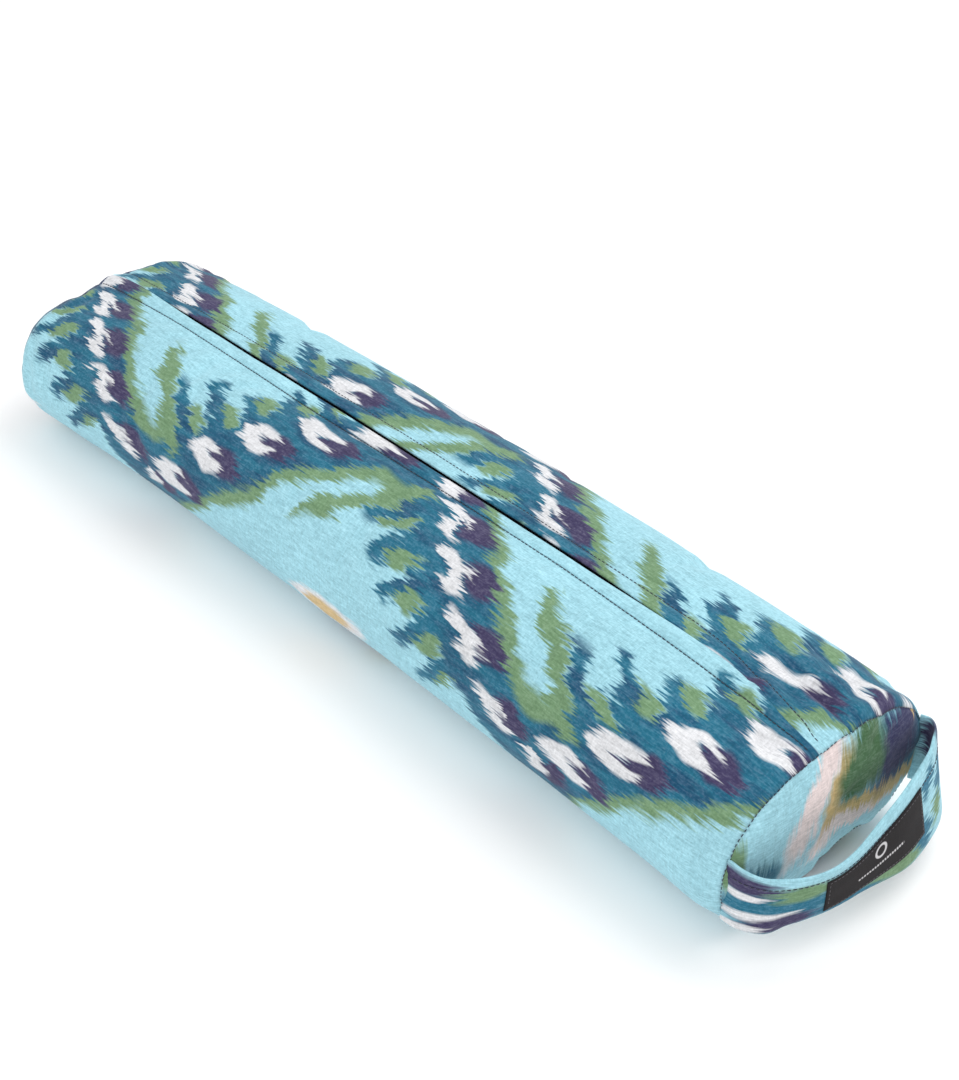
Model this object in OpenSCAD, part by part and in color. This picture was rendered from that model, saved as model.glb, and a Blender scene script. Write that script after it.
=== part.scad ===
// Yoga bolster: a stuffed oval body in a zipped cotton cover, with a carrying strap at one end.
// +X runs along the body towards the strap, +Z is up, and the body rests on z = 0.

/* [Body] */
// Length of the stuffed body between its two end seams
body_length = 700; // [560:10:800]
// Width of the body
body_width = 178; // [164:2:220]
// Height of the body
body_height = 108; // [98:2:130]
// Shape of the section: 2 is an oval and higher values are boxier
section_power = 2.4; // [2:0.1:3]
// How deep the body's own weight flattens its underside
base_sink = 5; // [3:1:8]
// Length over which the wrap curves in to each end seam
end_round = 20; // [12:2:36]
// How far each end seam lies inside the body's full section
end_inset = 4; // [3:1:8]
// How far each end panel swells out past its seam
panel_bulge = 8; // [4:1:9]

/* [Cloth and filling] */
// Thickness of the cover cloth
cloth = 1.2; // [0.8:0.1:1.4]
// Thickness of the inner casing's cloth
casing_cloth = 0.8; // [0.5:0.1:1]
// Play between the cover and the inner casing, at the sides and ends
casing_play = 2; // [1:0.5:3]
// Distance from the zip gap to the stitching on its left
stitch_left = 15; // [13:1:18]
// Distance from the zip gap to the stitching on its right
stitch_right = 11; // [9:1:12]

/* [Zip] */
// Width of the open gap between the two folded lips of the wrap
zip_gap = 5.5; // [5:0.5:7]
// Distance from each end seam to the slider at the end of its travel
slider_margin = 45; // [40:1:60]
// Length of the slider
slider_length = 15; // [13:1:18]
// Width of the slider
slider_width = 9.4; // [9.2:0.2:11]
// Length of the pull tab
tab_length = 24; // [18:1:28]
// Width of the pull tab
tab_width = 4; // [3.8:0.1:4.4]
// Width of each zip tape
tape_width = 13; // [11:1:14]
// How deep the top of the zip lies below the crown of the body
zip_depth = 4; // [3:0.2:7]

/* [Strap] */
// Width of the strap's webbing, which stands upright
strap_width = 48; // [40:2:52]
// Thickness of the folded strap
strap_thick = 2.4; // [1.8:0.2:3]
// How far the strap stands out from the end seam
strap_reach = 43; // [40:1:55]
// Distance between the strap's two sewn ends
strap_span = 164; // [156:2:166]
// Height of the strap's centre line
strap_height = 46; // [44:1:52]
// Length of the sewn label
label_length = 94; // [70:2:100]
// Height of the sewn label
label_height = 32; // [24:2:34]

/* [Hidden] */
$fn = 96;
section_sides = 72;      // points round the body's section
curve_steps = 6;         // rings along each rounded end
dome_steps = 5;          // rings across each end panel
dome_centre = 0.04;      // size of the innermost ring of a dome, as a share of the rim
mid_z = 0.46 * body_height;   // height of the body's widest line
half_length = body_length / 2;
seam_play = 0.2;         // between the wrap's end edge and the end panel
seam_x = half_length + seam_play;
thread = 0.6;            // thickness of a line of stitching
clear = 0.3;             // room between neighbouring solids
bead_play = 0.1;         // between a seam's thread and the cloth beside it

// The zip, from the top down, as depths below the crown of the body
pin_depth = zip_depth + 1.3;           // the pull tab's pin, inside the bail
plate_top = zip_depth + 2.1;           // the slider's upper plate
coil_top = zip_depth + 3.6;
coil_radius = 1;
tape_top = coil_top + 2 * coil_radius;
tape_thick = 0.6;
under_plate_play = 0.5;                // between the tapes and the slider's lower plate
under_plate_top = tape_top + tape_thick + under_plate_play;
plate_thick = 0.9;
casing_drop = 0.8;                     // between the slider and the inner casing
casing_depth = under_plate_top + plate_thick + casing_drop;

// The zip's other sizes
coil_y = 2.1;            // each coil's distance from the zip's centre line
post_width = 1.2;
bail_half = 3;           // half the bail's inner length
bail_width = 1.4;
bail_bar = 0.6;          // thickness of the bail
skirt_thick = 0.8;
post_length = 3.5;
post_setback = 1.2;      // from the slider's front edge to its post
slider_bow = 1.12;       // diameter of the slider's rounded outline, as a share of its length
slider_bow_shift = 0.1;  // how far that circle is moved to the front, as a share of the length
pin_radius = 0.5;
arm_play = 0.4;          // between the tab's arms and the bail
arm_overlap = 1;         // how far the arms run into the tab's plate
tab_thick = 1;
tab_start = 4.3;         // where the tab's plate begins, from its pin
tape_margin = 10;        // from each end seam to the end of the tape
stop_length = 2.6;
stop_gap = 3.5;          // between the slider at the end of its travel and the stops
slider_x = half_length - slider_margin;
stop_x = slider_x + slider_length / 2 + stop_gap;
coil_end = stop_x - clear;

// The strap lies on one arc, seen from above
strap_radius = (strap_span * strap_span / 4 + strap_reach * strap_reach) / (2 * strap_reach);
strap_centre_x = half_length + strap_reach - strap_radius;
strap_base_z = strap_height - strap_width / 2;
strap_root_gap = 2;                    // between the end panel's edge and the sewn ends
strap_root_x = seam_x + cloth + strap_root_gap;
loop_y = 58;                           // the loop swings inside this, and the sewn ends are outside it
stitch_end_gap = 2;                    // from the end of the loop to the end of its stitching
label_thick = 0.8;
label_low = 4;                         // from the strap's lower edge to the label
label_margin = 2;                      // from the label's edge to its stitching
strap_hem = 9;                         // from the strap's upper edge to its stitching
label_z = strap_base_z + label_low;
strap_stitch_z = strap_base_z + strap_width - strap_hem;

// The strap makes the part longer on +X, so everything moves to centre the whole on x = 0
far_x = seam_x + cloth + panel_bulge;
near_x = half_length + strap_reach + label_thick + clear;
shift = (far_x - near_x) / 2;

// ---- Body shape ----

function signed_power(value, power) = sign(value) * pow(abs(value), power);

// How far the surface has curved in at x, from 0 along the body to end_inset at the seam
function round_in(x) =
    let (k = max(0, (abs(x) - half_length + end_round) / end_round))
    end_inset * (1 - sqrt(max(0, 1 - k * k)));

// A point of the section at an angle, drawn in by side, top and base
function section_point(x, angle, side, top, base) =
    let (
        half = body_width / 2 - side,
        rise = body_height - mid_z - top,
        fall = mid_z + base_sink - base,
        y = half * signed_power(cos(angle), 2 / section_power),
        lift = signed_power(sin(angle), 2 / section_power)
    )
    [x, y, max(mid_z + lift * (lift > 0 ? rise : fall), base)];

function ring(x, side, top, base) =
    [for (i = [0:section_sides - 1]) section_point(x, 360 * i / section_sides, side, top, base)];

// Lengthwise stations: close together round each end, with one straight stretch between
function stations(length) =
    let (
        straight = length - end_round,
        far = [for (i = [curve_steps:-1:0]) -straight - end_round * sin(90 * i / curve_steps)],
        near = [for (i = [0:curve_steps]) straight + end_round * sin(90 * i / curve_steps)]
    )
    concat(far, near);

// The section at an end seam, shrunk to a share of its size and moved out along a dome
function dome_ring(x, swell, share, side, top, base) =
    [for (p = ring(x, side, top, base))
        [x + swell * (1 - share * share), p[1] * share, mid_z + (p[2] - mid_z) * share]];

// Height of the wrap's outer surface at a distance from the centre line
function section_height(y) =
    let (share = pow(y / (body_width / 2), section_power))
    mid_z + (body_height - mid_z) * pow(1 - share, 1 / section_power);

function reversed(list) = [for (i = [len(list) - 1:-1:0]) list[i]];

// A closed solid through rings with equal numbers of points. A closed loft joins its last ring
// to its first, and an open one is capped at both ends.
module loft(rings, closed = false) {
    n = len(rings[0]);
    m = len(rings);
    bands = closed ? m : m - 1;
    sides = [for (i = [0:bands - 1], j = [0:n - 1])
        let (a = i * n + j, b = i * n + (j + 1) % n, c = ((i + 1) % m) * n)
        each [[a, b, c + (j + 1) % n], [a, c + (j + 1) % n, c + j]]];
    caps = closed ? [] : [[for (j = [n - 1:-1:0]) j], [for (j = [0:n - 1]) (m - 1) * n + j]];
    polyhedron(points = [for (r = rings) each r], faces = concat(sides, caps), convexity = 6);
}

// A thin domed panel that closes one end
module domed_panel(x, swell, thick, side, top, base) {
    shares = [for (i = [0:dome_steps]) dome_centre + (1 - dome_centre) * i / dome_steps];
    inner = [for (s = shares) dome_ring(x, swell, s, side, top, base)];
    outer = [for (s = reversed(shares)) dome_ring(x + thick, swell, s, side, top, base)];
    loft(concat(inner, outer));
}

module far_side() {
    mirror([1, 0, 0]) children();
}

// ---- Cover ----

// One C-shaped slice of the wrap, open at the top for the zip
function wrap_slice(x) =
    let (
        inset = round_in(x),
        outer = wrap_line(x, inset),
        inner = wrap_line(x, inset + cloth)
    )
    concat(outer, reversed(inner));

// The wrap's outer or inner line at x, from one lip of the zip round to the other
function wrap_line(x, inset) =
    let (
        half = body_width / 2 - inset,
        start = acos(pow(zip_gap / 2 / half, section_power / 2))
    )
    [for (i = [0:section_sides])
        section_point(x, start - (180 + 2 * start) * i / section_sides, inset, inset, inset)];

module cover_wrap() {
    color([0.20, 0.47, 0.62])
        loft([for (x = stations(half_length)) wrap_slice(x)]);
}

module end_panel_near() {
    color([0.42, 0.68, 0.74])
        domed_panel(seam_x, panel_bulge, cloth, end_inset, end_inset, end_inset);
}

module end_panel_far() {
    color([0.20, 0.22, 0.36])
        far_side() domed_panel(seam_x, panel_bulge, cloth, end_inset, end_inset, end_inset);
}

// The thread that closes an end, as one slim bead round the seam
module seam_bead() {
    half = thread / 2;
    inset = end_inset - half - bead_play;
    beads = [for (p = ring(half_length + half + bead_play, inset, inset, inset))
        let (out = [0, p[1], p[2] - mid_z] / norm([p[1], p[2] - mid_z]))
        [p - out * half - [half, 0, 0], p + out * half - [half, 0, 0],
            p + out * half + [half, 0, 0], p - out * half + [half, 0, 0]]];
    loft(reversed(beads), closed = true);
}

module end_seam_near() {
    color([0.10, 0.12, 0.20]) seam_bead();
}

module end_seam_far() {
    color([0.10, 0.12, 0.20]) far_side() seam_bead();
}

// A straight line of stitching that lies on the crown of the body, y to one side of the zip
module stitch_line(y) {
    length = 2 * (half_length - end_round);
    translate([-length / 2, y - thread / 2, section_height(abs(y))])
        cube([length, thread, thread / 2]);
}

module placket_stitching_left() {
    color([0.12, 0.16, 0.26]) stitch_line(-stitch_left);
}

module placket_stitching_right() {
    color([0.12, 0.16, 0.26]) stitch_line(stitch_right);
}

// ---- Zip ----

module tape(side) {
    length = 2 * (half_length - tape_margin);
    inner = coil_y - coil_radius;
    y = side > 0 ? inner : -inner - tape_width;
    translate([-length / 2, y, body_height - tape_top - tape_thick])
        cube([length, tape_width, tape_thick]);
}

// One half of the coil chain, as a plain bar
module coil(side) {
    translate([-coil_end, side * coil_y, body_height - tape_top + coil_radius])
        rotate([0, 90, 0])
            cylinder(r = coil_radius, h = 2 * coil_end, $fn = 32);
}

module zipper_tape_left() {
    color([0.08, 0.09, 0.12]) tape(-1);
}

module zipper_tape_right() {
    color([0.08, 0.09, 0.12]) tape(1);
}

module zipper_coil_left() {
    color([0.05, 0.05, 0.07]) coil(-1);
}

module zipper_coil_right() {
    color([0.05, 0.05, 0.07]) coil(1);
}

// A pair of clips past the closed end of the chain, one on each tape
module zipper_top_stops() {
    color([0.55, 0.55, 0.58])
        for (side = [-1, 1])
            translate([stop_x, side * coil_y - coil_radius, body_height - tape_top])
                cube([stop_length, 2 * coil_radius, 2 * coil_radius]);
}

// One clip across both tapes, past the open end of the chain
module zipper_bottom_stop() {
    width = 2 * (coil_y + coil_radius);
    color([0.55, 0.55, 0.58])
        translate([-stop_x - stop_length, -width / 2, body_height - tape_top])
            cube([stop_length, width, 2 * coil_radius]);
}

// Plan outline of the slider's two plates, which taper towards the closed chain
module slider_outline() {
    intersection() {
        square([slider_length, slider_width], center = true);
        translate([slider_length * slider_bow_shift, 0]) circle(d = slider_length * slider_bow);
    }
}

module slider_plate(depth) {
    translate([slider_x, 0, body_height - depth - plate_thick])
        linear_extrude(plate_thick) slider_outline();
}

module zipper_slider() {
    bail_length = 2 * bail_half + 2 * bail_bar;
    plate_gap = under_plate_top - plate_top;
    color([0.50, 0.50, 0.53]) union() {
        slider_plate(plate_top);
        slider_plate(under_plate_top);
        // The post that parts the two coils
        translate([slider_x + slider_length / 2 - post_length - post_setback, -post_width / 2,
                body_height - under_plate_top - plate_thick / 2])
            cube([post_length, post_width, plate_gap]);
        // Skirts that keep the coils in the channel
        for (side = [-1, 1])
            translate([slider_x - slider_length / 4,
                    side * (slider_width - skirt_thick) / 2 - skirt_thick / 2,
                    body_height - tape_top + clear])
                cube([slider_length / 2, skirt_thick,
                    tape_top - clear - plate_top - plate_thick / 2]);
        // The bail that holds the pull tab
        translate([slider_x - bail_length / 2, -bail_width / 2, body_height - plate_top - plate_thick / 2])
            difference() {
                cube([bail_length, bail_width, plate_top + plate_thick / 2 - zip_depth]);
                translate([bail_bar, -1, plate_thick / 2])
                    cube([2 * bail_half, bail_width + 2, plate_top - zip_depth - bail_bar]);
            }
    }
}

// The tab lies flat over the closed chain: a cross pin inside the bail, two arms past it, a plate
module zipper_pull_tab() {
    arm = (tab_width - bail_width) / 2 - arm_play;
    color([0.50, 0.50, 0.53])
        translate([slider_x, 0, body_height - pin_depth]) union() {
            rotate([90, 0, 0])
                cylinder(r = pin_radius, h = tab_width - arm, center = true, $fn = 32);
            for (side = [-1, 1])
                translate([-tab_start - arm_overlap, side * (tab_width - arm) / 2 - arm / 2,
                        -tab_thick / 2])
                    cube([tab_start + arm_overlap, arm, tab_thick]);
            translate([-tab_length, -tab_width / 2, -tab_thick / 2])
                cube([tab_length - tab_start, tab_width, tab_thick]);
        }
}

// ---- Filling ----

casing_side = cloth + casing_play;
casing_base = cloth + clear;
batting_side = casing_side + casing_cloth + clear;
batting_top = casing_depth + casing_cloth + clear;
batting_base = casing_base + casing_cloth + clear;
casing_half = half_length - casing_play;
casing_bulge = panel_bulge - 1;
batting_half = casing_half - casing_cloth;

// A ring of the filling at x, whose wrapped length ends at full
function body_ring(x, full, side, top, base) =
    let (inset = round_in(x + sign(x) * (half_length - full)))
    ring(x, side + inset, top + inset, base + inset);

module casing_wrap() {
    xs = stations(casing_half);
    outer = [for (x = xs) body_ring(x, casing_half, casing_side, casing_depth, casing_base)];
    inner = [for (x = reversed(xs))
        body_ring(x, casing_half, casing_side + casing_cloth, casing_depth + casing_cloth,
            casing_base + casing_cloth)];
    color([0.90, 0.87, 0.80]) loft(concat(outer, inner), closed = true);
}

module casing_end() {
    domed_panel(casing_half + seam_play / 2, casing_bulge, casing_cloth, casing_side + end_inset,
        casing_depth + end_inset, casing_base + end_inset);
}

module casing_end_near() {
    color([0.90, 0.87, 0.80]) casing_end();
}

module casing_end_far() {
    color([0.90, 0.87, 0.80]) far_side() casing_end();
}

module batting_core() {
    shares = [for (i = [dome_steps - 1:-1:0]) dome_centre + (1 - dome_centre) * i / dome_steps];
    near = [for (s = shares)
        dome_ring(batting_half, casing_bulge, s, batting_side + end_inset, batting_top + end_inset,
            batting_base + end_inset)];
    far = [for (r = reversed(near)) [for (p = r) [-p[0], p[1], p[2]]]];
    body = [for (x = stations(batting_half))
        body_ring(x, batting_half, batting_side, batting_top, batting_base)];
    color([0.95, 0.93, 0.88]) loft(concat(far, body, near));
}

// ---- Strap ----

// A curved band on the strap's arc, between two distances from the centre line
module band(inner, outer, low, height) {
    translate([strap_centre_x, 0, low]) difference() {
        cylinder(r = outer, h = height, $fn = 180);
        translate([0, 0, -1]) cylinder(r = inner, h = height + 2, $fn = 180);
    }
}

module webbing() {
    band(strap_radius - strap_thick, strap_radius, strap_base_z, strap_width);
}

// One end of the strap, from its seam to the bend that it swings at
module strap_end(side) {
    out = strap_radius;
    color([0.22, 0.45, 0.60]) intersection() {
        webbing();
        translate([strap_root_x, side > 0 ? loop_y : -out, 0]) cube([out, out - loop_y, 2 * out]);
    }
}

module strap_end_left() {
    strap_end(-1);
}

module strap_end_right() {
    strap_end(1);
}

module strap_loop() {
    half = loop_y - clear;
    color([0.30, 0.55, 0.68]) intersection() {
        webbing();
        translate([half_length, -half, 0]) cube([strap_radius, 2 * half, 2 * strap_radius]);
    }
}

module strap_stitching() {
    half = loop_y - stitch_end_gap;
    color([0.12, 0.16, 0.26]) intersection() {
        band(strap_radius, strap_radius + thread / 2, strap_stitch_z, thread);
        translate([half_length, -half, 0]) cube([strap_radius, 2 * half, 2 * strap_radius]);
    }
}

// Half the label's width in y, from its length along the arc
label_angle = 90 * label_length / (PI * strap_radius);
label_y = strap_radius * sin(label_angle);

module strap_label() {
    color([0.13, 0.12, 0.13]) intersection() {
        band(strap_radius, strap_radius + label_thick, label_z, label_height);
        translate([half_length, -label_y, 0]) cube([strap_radius, 2 * label_y, 2 * strap_radius]);
    }
}

// The thread round the label's edge: two long rows and two short ones
module label_stitching() {
    far = strap_radius + label_thick;
    half = label_y - label_margin;
    color([0.30, 0.29, 0.31]) intersection() {
        union() {
            for (z = [label_z + label_margin, label_z + label_height - label_margin - thread])
                band(far, far + clear, z, thread);
            difference() {
                band(far, far + clear, label_z + label_margin, label_height - 2 * label_margin);
                translate([half_length, -half + thread, 0])
                    cube([strap_radius, 2 * (half - thread), 2 * strap_radius]);
            }
        }
        translate([half_length, -half, 0]) cube([strap_radius, 2 * half, 2 * strap_radius]);
    }
}

module placed() {
    translate([shift, 0, 0]) children();
}

placed() cover_wrap();
placed() end_panel_near();
placed() end_panel_far();
placed() end_seam_near();
placed() end_seam_far();
placed() placket_stitching_left();
placed() placket_stitching_right();
placed() zipper_tape_left();
placed() zipper_tape_right();
placed() zipper_coil_left();
placed() zipper_coil_right();
placed() zipper_top_stops();
placed() zipper_bottom_stop();
placed() zipper_slider();
placed() zipper_pull_tab();
placed() casing_wrap();
placed() casing_end_near();
placed() casing_end_far();
placed() batting_core();
placed() strap_end_left();
placed() strap_end_right();
placed() strap_loop();
placed() strap_stitching();
placed() strap_label();
placed() label_stitching();
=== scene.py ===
"""The looks of a yoga bolster: zipped ikat-print cover, topstitching, end panels and a carrying strap."""

import math

import bpy
import numpy as np
from mathutils import Matrix, Vector


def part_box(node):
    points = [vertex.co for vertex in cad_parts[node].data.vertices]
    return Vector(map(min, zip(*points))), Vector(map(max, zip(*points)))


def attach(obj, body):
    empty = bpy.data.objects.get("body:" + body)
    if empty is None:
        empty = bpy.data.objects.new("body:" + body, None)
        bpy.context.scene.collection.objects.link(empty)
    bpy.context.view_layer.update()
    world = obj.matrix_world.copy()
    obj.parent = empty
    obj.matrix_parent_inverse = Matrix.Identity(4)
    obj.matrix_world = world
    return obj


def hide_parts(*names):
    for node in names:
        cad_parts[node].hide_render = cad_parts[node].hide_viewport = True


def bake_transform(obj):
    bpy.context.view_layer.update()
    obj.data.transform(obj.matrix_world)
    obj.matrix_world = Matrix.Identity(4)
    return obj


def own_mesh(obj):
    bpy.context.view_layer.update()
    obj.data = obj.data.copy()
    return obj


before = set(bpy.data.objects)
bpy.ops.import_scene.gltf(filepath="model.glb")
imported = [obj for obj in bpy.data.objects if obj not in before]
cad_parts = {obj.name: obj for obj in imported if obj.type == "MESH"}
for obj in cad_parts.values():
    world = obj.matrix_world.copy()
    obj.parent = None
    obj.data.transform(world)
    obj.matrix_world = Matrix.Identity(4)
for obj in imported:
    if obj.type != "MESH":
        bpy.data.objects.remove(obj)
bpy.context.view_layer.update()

MM = 0.001

# ---- Sizes, from the frame ----

WRAP_LOW, WRAP_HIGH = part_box("cover_wrap")
MIDDLE = (WRAP_LOW.x + WRAP_HIGH.x) / 2       # of the body, along its length
HALF = (WRAP_HIGH.x - WRAP_LOW.x) / 2
WIDTH = WRAP_HIGH.y - WRAP_LOW.y
HEIGHT = WRAP_HIGH.z
SLIDER_AT = (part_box("zipper_slider")[0].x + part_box("zipper_slider")[1].x) / 2

# The section is a boxy oval, flattened where it rests
POWER = 2.4
WIDEST = 0.46 * HEIGHT
SINK = 5 * MM
CROWN_RISE = 2 * MM       # the crown at mid-length, over the CAD body's
CROWN_DROP = 5 * MM       # from mid-length to each end
BOW = 4 * MM              # the body's middle lies this far to +Y of its ends
END_ROUND = 20 * MM
END_INSET = 4 * MM
FAR_FULL = 4 * MM         # how much fuller the far end is on the -Y side

# The two rows of placket stitching, as mean distances from the crown
STITCH_LEFT = 15 * MM
STITCH_RIGHT = 11 * MM
UNDERLAP = 3 * MM         # how far the cover runs on under each lip
CLOTH = 0.8 * MM

# Lines along the placket in mm: the length from the body's middle, and the distance from the crown.
# Most points of the zip and of the left row began as places picked in the photo and found on
# the cloth through the camera below. They were then rounded, or moved by up to 3 mm. The others are
# set one by one. All three lines run together at the near seam, where a pleat catches the placket.
ZIP_LINE = [(-350, -5), (-325, -1), (-300, 0), (-168, -3), (20, -3), (140, -2), (243, -1.5),
            (281, -2.5), (300, -7), (320, -12.5), (340, -15.5), (350, -15.5)]
LEFT_LINE = [(-350, -14), (-250, -12.5), (-90, -17), (150, -12.5), (256, -14.5), (301, -16.5),
             (329, -19), (350, -19.5)]
RIGHT_LINE = [(-350, 9), (-200, 11), (0, 10), (150, 10), (245, 11), (270, 8), (300, 0), (328, -7),
              (350, -11)]


# ---- Number helpers ----

def fade(t):
    """Turns 0 to 1 into a smooth step, and holds it outside."""
    t = np.clip(t, 0, 1)
    return t * t * (3 - 2 * t)


def hump(distance, width):
    """A smooth hump, 1 at distance 0 and near 0 beyond twice the width."""
    return np.exp(-((distance / width) ** 2))


def wavering(a, b, seed):
    """Smooth random values from -1 to 1, about one hump for each unit of a and b."""
    a, b = np.broadcast_arrays(np.asarray(a, float), np.asarray(b, float))
    table = np.random.default_rng(seed).uniform(-1, 1, (64, 64))
    i, j = np.floor(a).astype(int), np.floor(b).astype(int)
    s, t = fade(a - i), fade(b - j)
    low = table[i % 64, j % 64] * (1 - s) + table[(i + 1) % 64, j % 64] * s
    high = table[i % 64, (j + 1) % 64] * (1 - s) + table[(i + 1) % 64, (j + 1) % 64] * s
    return low * (1 - t) + high * t


def drawn(x, places):
    """A smooth line at each x through given (x, across) pairs in millimetres."""
    at, across = np.array(places, float).T * MM
    shifts = np.linspace(-12 * MM, 12 * MM, 9)
    return np.mean([np.interp(x + shift, at, across) for shift in shifts], axis=0)


def through(points, count):
    """A smooth curve of evenly spaced points through a few given ones."""
    points = np.array(points, float)
    padded = np.vstack([2 * points[0] - points[1], points, 2 * points[-1] - points[-2]])
    t = np.linspace(0, len(points) - 1 - 1e-9, 40 * len(points))
    i = t.astype(int)
    f = (t - i)[:, None]
    p0, p1, p2, p3 = padded[i], padded[i + 1], padded[i + 2], padded[i + 3]
    curve = 0.5 * (2 * p1 + (p2 - p0) * f + (2 * p0 - 5 * p1 + 4 * p2 - p3) * f**2
                   + (3 * p1 - p0 - 3 * p2 + p3) * f**3)
    return evenly(curve, count)


def lengths(curve):
    """The distance along a curve at each of its points."""
    return np.concatenate([[0], np.cumsum(np.linalg.norm(np.diff(curve, axis=0), axis=1))])


def evenly(curve, count):
    """The same curve with evenly spaced points."""
    along = lengths(curve)
    wanted = np.linspace(0, along[-1], count)
    return np.stack([np.interp(wanted, along, axis) for axis in curve.T], axis=-1)


def unit(vectors):
    return vectors / np.linalg.norm(vectors, axis=-1, keepdims=True)


# ---- Mesh helpers ----

def mesh_object(name, points, faces):
    mesh = bpy.data.meshes.new(name)
    mesh.from_pydata(np.asarray(points, float).reshape(-1, 3).tolist(), [], faces)
    mesh.polygons.foreach_set("use_smooth", [True] * len(mesh.polygons))
    mesh.update()
    obj = bpy.data.objects.new(name, mesh)
    bpy.context.scene.collection.objects.link(obj)
    return obj


def grid_faces(rows, columns, close_columns=False, first=0):
    """Quads over a grid of points stored row by row."""
    i = np.arange(rows - 1)[:, None]
    j = np.arange(columns if close_columns else columns - 1)[None, :]
    here, below = i * columns, (i + 1) * columns
    right = (j + 1) % columns
    corners = [here + j, here + right, below + right, below + j]
    return (np.stack(corners, axis=-1).reshape(-1, 4) + first).tolist()


def grid_object(name, points, close_columns=False):
    rows, columns = points.shape[:2]
    return mesh_object(name, points, grid_faces(rows, columns, close_columns))


def closed_tube(name, rings):
    """Rings joined into a tube, with a flat face over each end."""
    count, around = rings.shape[:2]
    faces = grid_faces(count, around, close_columns=True)
    faces.append(list(range(around))[::-1])
    faces.append(list(range((count - 1) * around, count * around)))
    return mesh_object(name, rings, faces)


def set_cloth(obj, coordinates):
    """Stores where each point lies on the flat cloth, in metres, for the material to read."""
    attribute = obj.data.attributes.new("cloth", "FLOAT_VECTOR", "POINT")
    attribute.data.foreach_set("vector", np.asarray(coordinates, np.float32).ravel())


def flat_places(a, b):
    """Cloth coordinates for grids of lengths a and b."""
    a, b = np.broadcast_arrays(a, b)
    return np.stack([a, b, np.zeros_like(a)], axis=-1)


def dome_object(name, rings, side):
    """Rings from a rim inwards, closed at a pole, that bulge towards -x or +x."""
    count, around = rings.shape[:2]
    last = (count - 1) * around
    faces = grid_faces(count, around, close_columns=True)
    faces += [[last + j, last + (j + 1) % around, count * around] for j in range(around)]
    if side > 0:
        faces = [face[::-1] for face in faces]
    points = np.vstack([rings.reshape(-1, 3), rings[-1].mean(axis=0)])
    dome = mesh_object(name, points, faces)
    set_cloth(dome, flat_places(points[:, 1], points[:, 2]))
    return dome


def thicken(obj, thickness, offset=-1):
    solid = obj.modifiers.new("thickness", "SOLIDIFY")
    solid.thickness = thickness
    solid.offset = offset
    solid.use_even_offset = False


def stitch_row(name, path, outward, length, gap, radius, sink=0.35):
    """Separate rounded stitches along a path, each dipping into the cloth at its two ends."""
    along = lengths(path)
    pitch = length + gap
    count = int((along[-1] - gap) / pitch)
    start = gap / 2 + np.arange(count) * pitch
    ring_share = np.array([0, 0.12, 0.35, 0.65, 0.88, 1])
    ring_size = np.array([0.35, 0.8, 1, 1, 0.8, 0.35])
    ring_lift = np.array([-1.2, -0.3, 0.15, 0.15, -0.3, -1.2]) - sink
    sides = 6
    at = start[:, None] + ring_share[None, :] * length
    centre = np.stack([np.interp(at, along, axis) for axis in path.T], axis=-1)
    up = unit(np.stack([np.interp(at, along, axis) for axis in outward.T], axis=-1))
    ahead = unit(centre[:, -1:] - centre[:, :1])
    side = unit(np.cross(up, np.broadcast_to(ahead, up.shape)))
    centre = centre + up * (ring_lift * radius)[None, :, None]
    turn = np.arange(sides) * 2 * math.pi / sides
    spoke = side[..., None, :] * np.cos(turn)[:, None] + up[..., None, :] * np.sin(turn)[:, None]
    points = centre[..., None, :] + spoke * (radius * ring_size)[None, :, None, None]
    rings = len(ring_share)
    faces = []
    for k in range(count):
        first = k * rings * sides
        faces += grid_faces(rings, sides, close_columns=True, first=first)
        last = first + (rings - 1) * sides
        faces.append([first + i for i in range(sides)][::-1])
        faces.append([last + i for i in range(sides)])
    return mesh_object(name, points, faces)


# ---- The cover's shape ----

def full_section():
    """Girth from the crown, negative, down the -Y side and all the way round, with (y, z) there."""
    turn = np.radians(np.linspace(90, 450, 6001))
    c, s = np.cos(turn), np.sin(turn)
    y = WIDTH / 2 * np.sign(c) * np.abs(c) ** (2 / POWER)
    rise = HEIGHT - WIDEST
    lift = np.sign(s) * np.abs(s) ** (2 / POWER)
    z = np.maximum(WIDEST + lift * np.where(s > 0, rise, WIDEST + SINK), 0)
    curve = np.stack([y, z], axis=-1)
    return -lengths(curve), curve


SECTION_GIRTH, SECTION = full_section()
GIRTH = -SECTION_GIRTH[-1]


def section_at(girth):
    girth = np.where(girth < -GIRTH, girth + GIRTH, girth)
    order = slice(None, None, -1)
    y = np.interp(girth, SECTION_GIRTH[order], SECTION[order, 0])
    z = np.interp(girth, SECTION_GIRTH[order], SECTION[order, 1])
    return y, z


def round_in(x):
    """How far the body has curved in at x, towards an end seam."""
    k = np.clip((np.abs(x) - HALF + END_ROUND) / END_ROUND, 0, 1)
    return END_INSET * (1 - np.sqrt(1 - k * k))


def bow(x):
    return BOW * (1 - (x / HALF) ** 2)


def end_lift(x, y):
    """How far the underside arches up off the floor under the near end."""
    return 11 * MM * hump(y - 25 * MM, 34 * MM) * fade((x - HALF + 0.06) / 0.06)


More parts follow.
